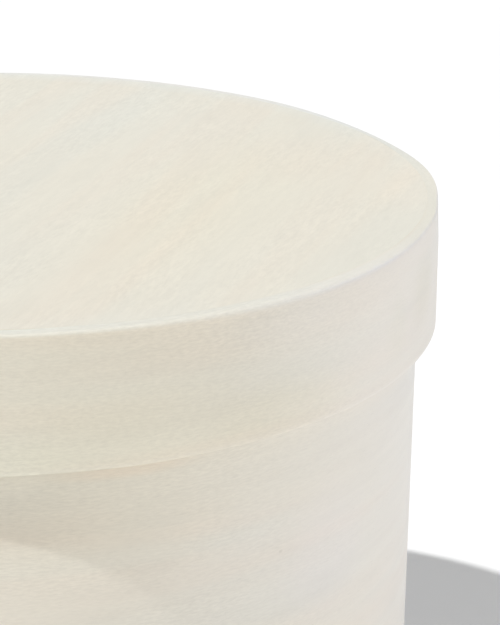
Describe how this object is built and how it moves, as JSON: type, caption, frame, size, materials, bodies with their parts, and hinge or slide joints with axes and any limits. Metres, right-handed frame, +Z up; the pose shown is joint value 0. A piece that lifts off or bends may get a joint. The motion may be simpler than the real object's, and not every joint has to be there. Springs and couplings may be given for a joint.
{
  "type": "round veneer box",
  "caption": "Round bent-veneer box with a flat lift-off lid that fits over its wall, for keeping or giving a soft cheese.",
  "frame": {"origin": "centre of the base's underside, where the box stands", "axes": "+Z up through the lid, -Y towards the front that the picture shows, +X to the right; the strips' seams are at the back"},
  "size_m": [0.15, 0.15, 0.11],
  "materials": {
    "wood_veneer": "bare sanded poplar veneer, cream white, matt, grain running round the strip",
    "wood_disc": "bare sanded poplar board, cream white, matt, straight grain across the disc",
    "wood_glue": "dried wood glue, pale amber, slightly glossy",
    "staple_wire": "galvanised flat wire, dull silver"
  },
  "bodies": {
    "box": {"wall_band": "wood_veneer", "wall_seam_glue": "wood_glue", "wall_seam_staples": "staple_wire", "base_disc": "wood_disc", "base_glue_bead": "wood_glue"},
    "lid": {"lid_band": "wood_veneer", "lid_seam_glue": "wood_glue", "lid_seam_staples": "staple_wire", "lid_disc": "wood_disc", "lid_glue_line": "wood_glue"}
  },
  "joints": [
    {"name": "lid_lift", "type": "slide", "parent": "box", "child": "lid", "axis": [0, 0, 1], "range_m": [0, 0.15]}
  ]
}
